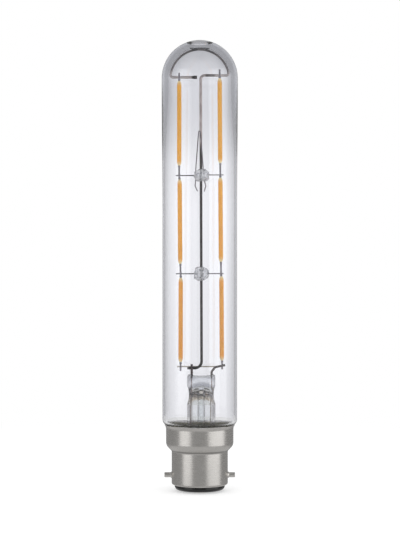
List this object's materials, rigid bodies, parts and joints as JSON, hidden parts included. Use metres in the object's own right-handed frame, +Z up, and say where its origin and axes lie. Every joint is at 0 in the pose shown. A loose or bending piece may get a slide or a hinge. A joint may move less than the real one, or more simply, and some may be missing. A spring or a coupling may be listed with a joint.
{
  "type": "tubular filament lamp",
  "caption": "Clear tubular filament-style LED lamp with two strings of amber filaments, a glass stem and a two-pin bayonet cap.",
  "frame": {"origin": "on the lamp's axis, in the plane of the two contact faces under the cap", "axes": "+Z up the tube to the dome, +X through the right bayonet pin, -Y to the front"},
  "size_m": [0.0298, 0.0298, 0.1764],
  "materials": {
    "clear_glass": "clear, polished",
    "stem_glass": "clear, pressed by hand",
    "bead_glass": "clear, melted on",
    "mast_nickel": "drawn wire, dull",
    "lead_nickel": "drawn wire, dull",
    "cross_wire_nickel": "drawn wire, dull",
    "seal_wire_copper": "copper-coated wire, dull",
    "filament_phosphor": "amber silicone, satin",
    "tab_steel": "stamped strip, satin",
    "cap_nickel": "nickel-plated brass, satin",
    "pin_nickel": "nickel-plated brass, satin",
    "insulator_black": "black moulding, glossy",
    "contact_brass": "satin",
    "contact_solder": "tinned, satin",
    "supply_wire_copper": "tinned copper wire, dull",
    "cement": "baked resin cement, matt",
    "board_laminate": "glass-fibre laminate, satin",
    "capacitor_sleeve": "shrunk sleeve, glossy",
    "chip_black": "moulded, matt",
    "resistor_body": "lacquered, satin"
  },
  "bodies": {
    "root": {"glass_envelope": "clear_glass", "glass_stem": "stem_glass", "exhaust_tube": "stem_glass", "mast_wire": "mast_nickel", "upper_bead": "bead_glass", "lower_bead": "bead_glass", "bead_hairpin": "cross_wire_nickel", "upper_left_cross_wire": "cross_wire_nickel", "upper_right_cross_wire": "cross_wire_nickel", "lower_left_cross_wire": "cross_wire_nickel", "lower_right_cross_wire": "cross_wire_nickel", "link_wire": "cross_wire_nickel", "left_inner_lead": "lead_nickel", "right_inner_lead": "lead_nickel", "left_seal_wire": "seal_wire_copper", "right_seal_wire": "seal_wire_copper", "left_outer_lead": "supply_wire_copper", "right_outer_lead": "supply_wire_copper", "cap_shell": "cap_nickel", "left_bayonet_pin": "pin_nickel", "right_bayonet_pin": "pin_nickel", "cap_insulator": "insulator_black", "front_contact": "contact_brass", "rear_contact": "contact_brass", "front_contact_solder": "contact_solder", "rear_contact_solder": "contact_solder", "front_supply_wire": "supply_wire_copper", "rear_supply_wire": "supply_wire_copper", "cement_ring": "cement", "driver_board": "board_laminate", "smoothing_capacitor": "capacitor_sleeve", "rectifier_bridge": "chip_black", "fusible_resistor": "resistor_body", "driver_chip": "chip_black", "left_lower_filament": "filament_phosphor", "left_lower_bottom_tab": "tab_steel", "left_lower_top_tab": "tab_steel", "left_middle_filament": "filament_phosphor", "left_middle_bottom_tab": "tab_steel", "left_middle_top_tab": "tab_steel", "left_upper_filament": "filament_phosphor", "left_upper_bottom_tab": "tab_steel", "left_upper_top_tab": "tab_steel", "right_lower_filament": "filament_phosphor", "right_lower_bottom_tab": "tab_steel", "right_lower_top_tab": "tab_steel", "right_middle_filament": "filament_phosphor", "right_middle_bottom_tab": "tab_steel", "right_middle_top_tab": "tab_steel", "right_upper_filament": "filament_phosphor", "right_upper_bottom_tab": "tab_steel", "right_upper_top_tab": "tab_steel"}
  },
  "joints": []
}
